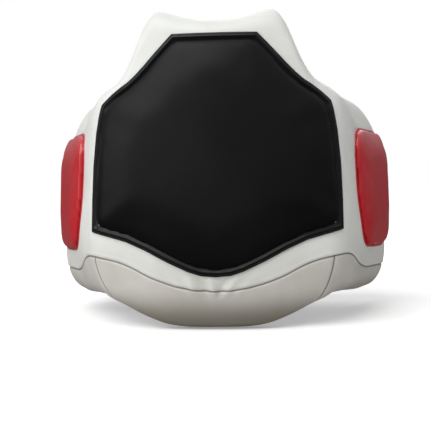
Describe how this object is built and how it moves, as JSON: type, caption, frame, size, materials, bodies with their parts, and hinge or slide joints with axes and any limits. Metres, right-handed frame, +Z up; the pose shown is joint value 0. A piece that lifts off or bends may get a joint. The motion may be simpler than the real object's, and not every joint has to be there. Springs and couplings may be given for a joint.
{
  "type": "chest protector",
  "caption": "Padded wrap-around chest protector with a raised front target, raised side targets, flexing side wings, shoulder straps and a waist belt.",
  "frame": {"origin": "on the floor, at the middle of the overall width and depth", "axes": "+X across to the right as the front faces the viewer, +Y from the front target back to the wearer, +Z up"},
  "size_m": [0.5372, 0.3232, 0.4301],
  "materials": {
    "white_leather": "grained coated fabric, satin",
    "black_leather": "grained coated fabric, satin",
    "red_leather": "smooth coated fabric, glossy",
    "firm_foam": "closed-cell foam sheet",
    "soft_foam": "open-cell foam",
    "lining": "woven synthetic",
    "webbing": "woven nylon webbing",
    "hook_and_loop": "hook and loop pile",
    "ring_metal": "nickel plated wire"
  },
  "bodies": {
    "front": {"front_cover": "white_leather", "bottom_gusset_center": "white_leather", "front_foam_outer": "firm_foam", "front_foam_inner": "soft_foam", "front_lining": "lining", "front_target_border": "black_leather", "front_target_foam": "soft_foam", "front_target_cover": "black_leather", "left_strap_anchor": "webbing", "right_strap_anchor": "webbing"},
    "left_wing": {"left_wing_cover": "white_leather", "left_bottom_gusset": "white_leather", "left_wing_foam": "soft_foam", "left_wing_lining": "lining", "left_target_border": "red_leather", "left_target_foam": "soft_foam", "left_target_cover": "red_leather", "left_ring_tab": "webbing", "left_belt_anchor": "webbing"},
    "left_ring": {"left_strap_ring": "ring_metal"},
    "left_strap": {"left_shoulder_strap": "webbing", "left_strap_hook": "hook_and_loop", "left_strap_loop": "hook_and_loop"},
    "left_belt": {"left_waist_belt": "webbing", "left_belt_patch": "hook_and_loop"},
    "right_wing": {"right_wing_cover": "white_leather", "right_bottom_gusset": "white_leather", "right_wing_foam": "soft_foam", "right_wing_lining": "lining", "right_target_border": "red_leather", "right_target_foam": "soft_foam", "right_target_cover": "red_leather", "right_ring_tab": "webbing", "right_belt_anchor": "webbing"},
    "right_ring": {"right_strap_ring": "ring_metal"},
    "right_strap": {"right_shoulder_strap": "webbing", "right_strap_hook": "hook_and_loop", "right_strap_loop": "hook_and_loop"},
    "right_belt": {"right_waist_belt": "webbing", "right_belt_patch": "hook_and_loop"}
  },
  "joints": [
    {"name": "left_wing_flex", "type": "hinge", "parent": "front", "child": "left_wing", "pos_m": [-0.17614, -0.11297, 0], "axis": [0, 0.1676, 0.9859], "range_deg": [0, 25], "stiffness_Nm_per_rad": 4},
    {"name": "left_strap_swing", "type": "hinge", "parent": "front", "child": "left_strap", "pos_m": [-0.08, -0.01742, 0.4], "axis": [1, 0, 0], "range_deg": [0, 150]},
    {"name": "left_ring_swing", "type": "hinge", "parent": "left_wing", "child": "left_ring", "pos_m": [-0.17946, 0.0804, 0.262], "axis": [0.4067, -0.9135, 0], "range_deg": [0, 110]},
    {"name": "left_belt_swing", "type": "hinge", "parent": "left_wing", "child": "left_belt", "pos_m": [-0.21711, 0.13807, 0.115], "axis": [0, 0, 1], "range_deg": [-35, 100]},
    {"name": "right_wing_flex", "type": "hinge", "parent": "front", "child": "right_wing", "pos_m": [0.17614, -0.11297, 0], "axis": [0, -0.1676, -0.9859], "range_deg": [0, 25], "stiffness_Nm_per_rad": 4},
    {"name": "right_strap_swing", "type": "hinge", "parent": "front", "child": "right_strap", "pos_m": [0.08, -0.01742, 0.4], "axis": [1, 0, 0], "range_deg": [0, 150]},
    {"name": "right_ring_swing", "type": "hinge", "parent": "right_wing", "child": "right_ring", "pos_m": [0.17946, 0.0804, 0.262], "axis": [0.4067, 0.9135, 0], "range_deg": [0, 110]},
    {"name": "right_belt_swing", "type": "hinge", "parent": "right_wing", "child": "right_belt", "pos_m": [0.21711, 0.13807, 0.115], "axis": [0, 0, -1], "range_deg": [-35, 100]}
  ]
}
